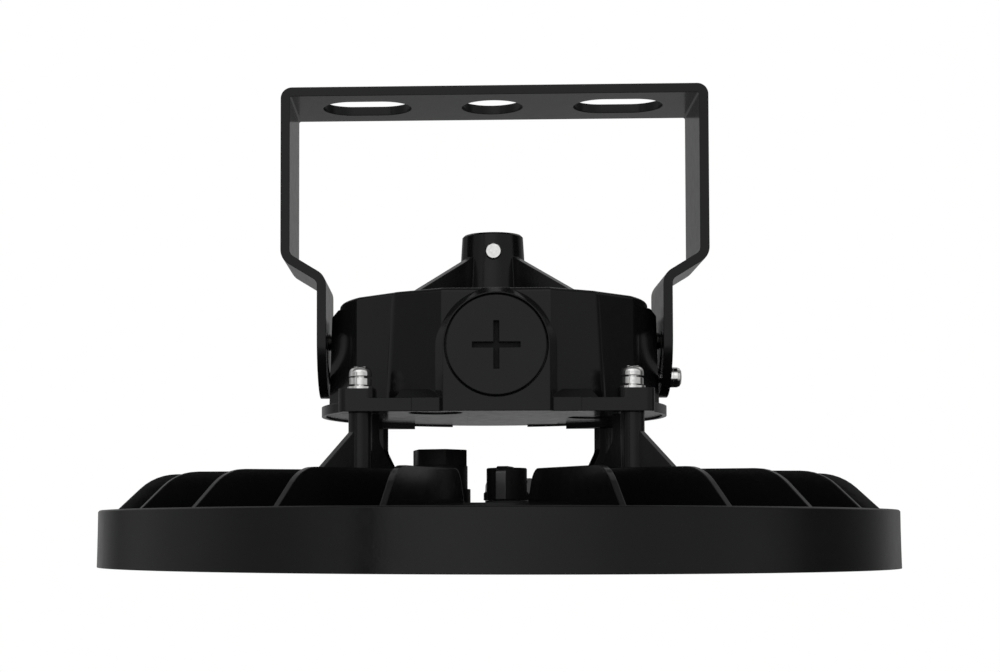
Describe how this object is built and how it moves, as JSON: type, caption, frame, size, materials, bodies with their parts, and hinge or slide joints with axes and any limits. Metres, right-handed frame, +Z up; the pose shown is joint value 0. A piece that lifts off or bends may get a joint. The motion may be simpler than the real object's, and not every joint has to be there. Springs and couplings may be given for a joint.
{
  "type": "high bay light",
  "caption": "Round high bay light: finned black die-cast heat sink, driver housing on columns, tilting flat-bar yoke with slotted top.",
  "frame": {"origin": "on the light's axis, at the lower edge of the rim that it can stand on", "axes": "+Z up along the light's axis; -Y out of the front, where the knock-out plug is; +X along the yoke's tilt axis, out of the side with the lock bolt"},
  "size_m": [0.28, 0.28, 0.1683],
  "materials": {
    "cast_black_coat": "satin black powder coat on die-cast aluminium",
    "yoke_black_coat": "satin black powder coat on bent flat steel",
    "sheet_black_coat": "satin black paint on sheet steel",
    "bright_zinc_steel": "bright zinc plate",
    "spring_steel": "bright zinc plate on spring steel",
    "black_screw": "black screw",
    "clear_lens": "lightly frosted polycarbonate",
    "board_white": "white solder mask on an aluminium board",
    "phosphor": "yellow silicone over the chips",
    "seal_rubber": "soft matte silicone rubber",
    "driver_case": "plain aluminium case, potted",
    "terminal_nylon": "white nylon",
    "black_nylon": "moulded black nylon"
  },
  "bodies": {
    "luminaire": {"heatsink": "cast_black_coat", "driver_housing": "cast_black_coat", "knockout_plug": "cast_black_coat", "led_board": "board_white", "led_chips": "phosphor", "lens_plate": "clear_lens", "lens_gasket": "seal_rubber", "lens_ring": "sheet_black_coat", "cover_plate": "sheet_black_coat", "cover_gasket": "seal_rubber", "plug_seal": "seal_rubber", "driver_module": "driver_case", "terminal_block": "terminal_nylon", "gland_body": "black_nylon", "gland_cap": "black_nylon", "gland_seal": "seal_rubber", "vent_plug": "black_nylon", "vent_seal": "seal_rubber", "pivot_screw_left": "bright_zinc_steel", "pivot_screw_right": "bright_zinc_steel", "lock_bolt": "bright_zinc_steel", "lock_spring_washer": "spring_steel", "lock_washer": "bright_zinc_steel", "hub_screw": "bright_zinc_steel", "lens_screw_1": "bright_zinc_steel", "lens_screw_2": "bright_zinc_steel", "lens_screw_3": "bright_zinc_steel", "lens_screw_4": "bright_zinc_steel", "lens_screw_5": "bright_zinc_steel", "lens_screw_6": "bright_zinc_steel", "lens_screw_7": "bright_zinc_steel", "lens_screw_8": "bright_zinc_steel", "board_screw_1": "bright_zinc_steel", "board_screw_2": "bright_zinc_steel", "board_screw_3": "bright_zinc_steel", "board_screw_4": "bright_zinc_steel", "cover_screw_1": "black_screw", "cover_screw_2": "black_screw", "cover_screw_3": "black_screw", "cover_screw_4": "black_screw", "cover_screw_5": "black_screw", "column_screw_front_left": "bright_zinc_steel", "spring_washer_front_left": "spring_steel", "flat_washer_front_left": "bright_zinc_steel", "column_screw_front_right": "bright_zinc_steel", "spring_washer_front_right": "spring_steel", "flat_washer_front_right": "bright_zinc_steel", "column_screw_rear_right": "bright_zinc_steel", "spring_washer_rear_right": "spring_steel", "flat_washer_rear_right": "bright_zinc_steel", "column_screw_rear_left": "bright_zinc_steel", "spring_washer_rear_left": "spring_steel", "flat_washer_rear_left": "bright_zinc_steel"},
    "yoke": {"yoke": "yoke_black_coat"}
  },
  "joints": [
    {"name": "yoke_tilt", "type": "hinge", "parent": "luminaire", "child": "yoke", "pos_m": [0, 0, 0.0803], "axis": [1, 0, 0], "range_deg": [-90, 90]}
  ]
}
